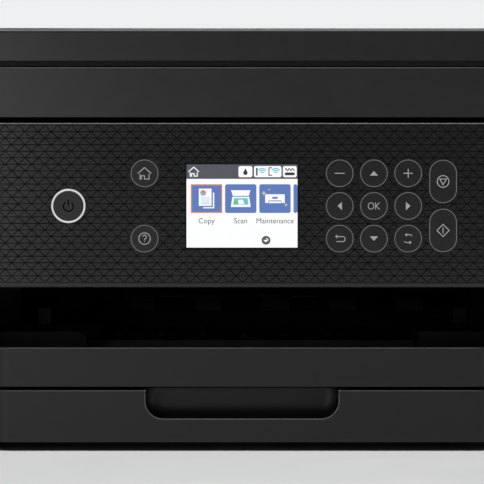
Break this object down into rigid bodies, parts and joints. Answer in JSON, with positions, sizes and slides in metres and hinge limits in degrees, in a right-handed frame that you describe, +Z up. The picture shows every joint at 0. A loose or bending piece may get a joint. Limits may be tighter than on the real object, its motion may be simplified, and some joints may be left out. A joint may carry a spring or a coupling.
{
  "type": "inkjet printer",
  "caption": "All-in-one inkjet printer: flatbed scanner over a print engine, with a tilting control panel, telescoping output tray and a paper cassette.",
  "frame": {"origin": "on the floor under the middle of the printer", "axes": "+Z up, -Y is the front with the control panel, +X to the right as seen from the front"},
  "size_m": [0.375, 0.347, 0.187],
  "materials": {
    "case": "satin black moulded plastic, fine spark texture",
    "panel": "satin black moulded plastic with a fine triangle relief",
    "keys": "smooth black plastic with light printed symbols",
    "screen": "glossy display window",
    "tray": "satin black moulded plastic",
    "inner": "dark grey moulded plastic",
    "guide_grey": "mid grey moulded plastic",
    "white_plastic": "off-white moulded plastic",
    "mat_foam": "white faced foam mat",
    "steel": "zinc coated sheet steel",
    "shaft_steel": "ground steel",
    "rubber": "black rubber",
    "film": "clear film with fine dark lines",
    "board": "green circuit board with solder mask",
    "supply": "black plastic power brick",
    "glass": "clear flat glass",
    "ink": "black cartridge body with a coloured label",
    "gear": "natural acetal"
  },
  "bodies": {
    "body": {"base_tray": "case", "left_cover": "case", "right_cover": "case", "rear_cover": "case", "top_deck": "case", "rubber_feet": "rubber", "case_screws": "steel", "slot_liner": "inner", "slot_guides": "guide_grey", "chassis": "steel", "carriage_rail": "shaft_steel", "encoder_strip": "film", "drive_belt": "rubber", "carriage_motor": "steel", "feed_motor": "steel", "platen": "inner", "capping_station": "inner", "main_board": "board", "power_supply": "supply", "ac_inlet": "supply"},
    "scanner": {"scanner_base": "case", "scanner_bezel": "case", "scanner_glass": "glass"},
    "scan_head": {"scan_bar": "inner"},
    "cover": {"document_cover": "case", "document_mat": "mat_foam"},
    "panel": {"panel_shell": "panel", "panel_back": "panel", "screen": "screen"},
    "tray_stage": {"tray_slide": "tray"},
    "tray": {"output_tray": "tray"},
    "stopper": {"paper_stop": "tray"},
    "cassette": {"paper_cassette": "tray"},
    "left_guide": {"left_edge_guide": "guide_grey"},
    "right_guide": {"right_edge_guide": "guide_grey"},
    "end_guide": {"length_guide": "guide_grey"},
    "carriage": {"print_carriage": "inner", "ink_cartridges": "ink"},
    "pulley_driven": {"motor_pulley": "gear"},
    "pulley_idle": {"idler_pulley": "gear"},
    "feed": {"feed_roller": "rubber"},
    "eject": {"eject_roller": "rubber"},
    "pickup": {"pickup_roller": "rubber"},
    "transfer": {"transfer_gear": "gear"},
    "pinion": {"feed_pinion": "gear"},
    "duplexer": {"rear_duplexer": "case"},
    "key_power": {"power_button": "keys"},
    "key_home": {"home_button": "keys"},
    "key_help": {"help_button": "keys"},
    "key_minus": {"minus_button": "keys"},
    "key_up": {"up_button": "keys"},
    "key_plus": {"plus_button": "keys"},
    "key_left": {"left_button": "keys"},
    "key_ok": {"ok_button": "keys"},
    "key_right": {"right_button": "keys"},
    "key_back": {"back_button": "keys"},
    "key_down": {"down_button": "keys"},
    "key_swap": {"swap_button": "keys"},
    "key_stop": {"stop_button": "keys"},
    "key_start": {"start_button": "keys"}
  },
  "joints": [
    {"name": "scanner_hinge", "type": "hinge", "parent": "body", "child": "scanner", "pos_m": [0, 0.16, 0.1515], "axis": [-1, 0, 0], "range_deg": [0, 30]},
    {"name": "cover_hinge", "type": "hinge", "parent": "scanner", "child": "cover", "pos_m": [0, 0.16, 0.1755], "axis": [-1, 0, 0], "range_deg": [0, 85]},
    {"name": "panel_tilt", "type": "hinge", "parent": "body", "child": "panel", "pos_m": [0, -0.169, 0.1414], "axis": [-1, 0, 0], "range_deg": [0, 45]},
    {"name": "tray_stage_slide", "type": "slide", "parent": "body", "child": "tray_stage", "axis": [0, -1, 0], "range_m": [0, 0.07]},
    {"name": "tray_extend_slide", "type": "slide", "parent": "tray_stage", "child": "tray", "axis": [0, -1, 0], "range_m": [0, 0.075]},
    {"name": "stopper_flip", "type": "hinge", "parent": "tray", "child": "stopper", "pos_m": [0, -0.1655, 0.0418], "axis": [1, 0, 0], "range_deg": [0, 95]},
    {"name": "cassette_slide", "type": "slide", "parent": "body", "child": "cassette", "axis": [0, -1, 0], "range_m": [0, 0.28]},
    {"name": "carriage_slide", "type": "slide", "parent": "body", "child": "carriage", "axis": [-1, 0, 0], "range_m": [0, 0.246]},
    {"name": "scan_slide", "type": "slide", "parent": "scanner", "child": "scan_head", "axis": [1, 0, 0], "range_m": [0, 0.292]},
    {"name": "duplexer_slide", "type": "slide", "parent": "body", "child": "duplexer", "axis": [0, 1, 0], "range_m": [0, 0.06]},
    {"name": "left_guide_slide", "type": "slide", "parent": "cassette", "child": "left_guide", "axis": [1, 0, 0], "range_m": [0, 0.055]},
    {"name": "right_guide_slide", "type": "slide", "parent": "cassette", "child": "right_guide", "axis": [-1, 0, 0], "range_m": [0, 0.055]},
    {"name": "length_guide_slide", "type": "slide", "parent": "cassette", "child": "end_guide", "axis": [0, 1, 0], "range_m": [0, 0.14]},
    {"name": "feed_spin", "type": "hinge", "parent": "body", "child": "feed", "pos_m": [0, 0.068, 0.056], "axis": [1, 0, 0], "continuous": true},
    {"name": "eject_spin", "type": "hinge", "parent": "body", "child": "eject", "pos_m": [0, -0.00499, 0.05702], "axis": [1, 0, 0], "continuous": true},
    {"name": "pickup_spin", "type": "hinge", "parent": "body", "child": "pickup", "pos_m": [0, 0.09997, 0.04598], "axis": [1, 0, 0], "continuous": true},
    {"name": "transfer_spin", "type": "hinge", "parent": "body", "child": "transfer", "pos_m": [0, 0.028, 0.05656], "axis": [1, 0, 0], "continuous": true},
    {"name": "pinion_spin", "type": "hinge", "parent": "body", "child": "pinion", "pos_m": [0, 0.068, 0.03], "axis": [1, 0, 0], "continuous": true},
    {"name": "motor_pulley_spin", "type": "hinge", "parent": "body", "child": "pulley_driven", "pos_m": [-0.15, 0.0915, 0.1], "axis": [0, 1, 0], "range_deg": [0, 2400]},
    {"name": "idler_pulley_spin", "type": "hinge", "parent": "body", "child": "pulley_idle", "pos_m": [0.15, 0.0915, 0.1], "axis": [0, 1, 0], "range_deg": [0, 2400]},
    {"name": "power_press", "type": "slide", "parent": "panel", "child": "key_power", "axis": [0, 1, 0], "range_m": [0, 0.0006], "stiffness_N_per_m": 900, "springref_m": -0.0004},
    {"name": "home_press", "type": "slide", "parent": "panel", "child": "key_home", "axis": [0, 1, 0], "range_m": [0, 0.0006], "stiffness_N_per_m": 900, "springref_m": -0.0004},
    {"name": "help_press", "type": "slide", "parent": "panel", "child": "key_help", "axis": [0, 1, 0], "range_m": [0, 0.0006], "stiffness_N_per_m": 900, "springref_m": -0.0004},
    {"name": "minus_press", "type": "slide", "parent": "panel", "child": "key_minus", "axis": [0, 1, 0], "range_m": [0, 0.0006], "stiffness_N_per_m": 900, "springref_m": -0.0004},
    {"name": "up_press", "type": "slide", "parent": "panel", "child": "key_up", "axis": [0, 1, 0], "range_m": [0, 0.0006], "stiffness_N_per_m": 900, "springref_m": -0.0004},
    {"name": "plus_press", "type": "slide", "parent": "panel", "child": "key_plus", "axis": [0, 1, 0], "range_m": [0, 0.0006], "stiffness_N_per_m": 900, "springref_m": -0.0004},
    {"name": "left_press", "type": "slide", "parent": "panel", "child": "key_left", "axis": [0, 1, 0], "range_m": [0, 0.0006], "stiffness_N_per_m": 900, "springref_m": -0.0004},
    {"name": "ok_press", "type": "slide", "parent": "panel", "child": "key_ok", "axis": [0, 1, 0], "range_m": [0, 0.0006], "stiffness_N_per_m": 900, "springref_m": -0.0004},
    {"name": "right_press", "type": "slide", "parent": "panel", "child": "key_right", "axis": [0, 1, 0], "range_m": [0, 0.0006], "stiffness_N_per_m": 900, "springref_m": -0.0004},
    {"name": "back_press", "type": "slide", "parent": "panel", "child": "key_back", "axis": [0, 1, 0], "range_m": [0, 0.0006], "stiffness_N_per_m": 900, "springref_m": -0.0004},
    {"name": "down_press", "type": "slide", "parent": "panel", "child": "key_down", "axis": [0, 1, 0], "range_m": [0, 0.0006], "stiffness_N_per_m": 900, "springref_m": -0.0004},
    {"name": "swap_press", "type": "slide", "parent": "panel", "child": "key_swap", "axis": [0, 1, 0], "range_m": [0, 0.0006], "stiffness_N_per_m": 900, "springref_m": -0.0004},
    {"name": "stop_press", "type": "slide", "parent": "panel", "child": "key_stop", "axis": [0, 1, 0], "range_m": [0, 0.0006], "stiffness_N_per_m": 900, "springref_m": -0.0004},
    {"name": "start_press", "type": "slide", "parent": "panel", "child": "key_start", "axis": [0, 1, 0], "range_m": [0, 0.0006], "stiffness_N_per_m": 900, "springref_m": -0.0004}
  ],
  "couplings": [
    {"joint": "right_guide_slide", "follows": "left_guide_slide", "ratio": 1},
    {"joint": "eject_spin", "follows": "feed_spin", "ratio": 1.5385},
    {"joint": "pickup_spin", "follows": "feed_spin", "ratio": -1.4815},
    {"joint": "transfer_spin", "follows": "feed_spin", "ratio": -1},
    {"joint": "pinion_spin", "follows": "feed_spin", "ratio": -3.3333},
    {"joint": "motor_pulley_spin", "follows": "carriage_slide", "rad_per_m": 166.67},
    {"joint": "idler_pulley_spin", "follows": "carriage_slide", "rad_per_m": 166.67}
  ]
}
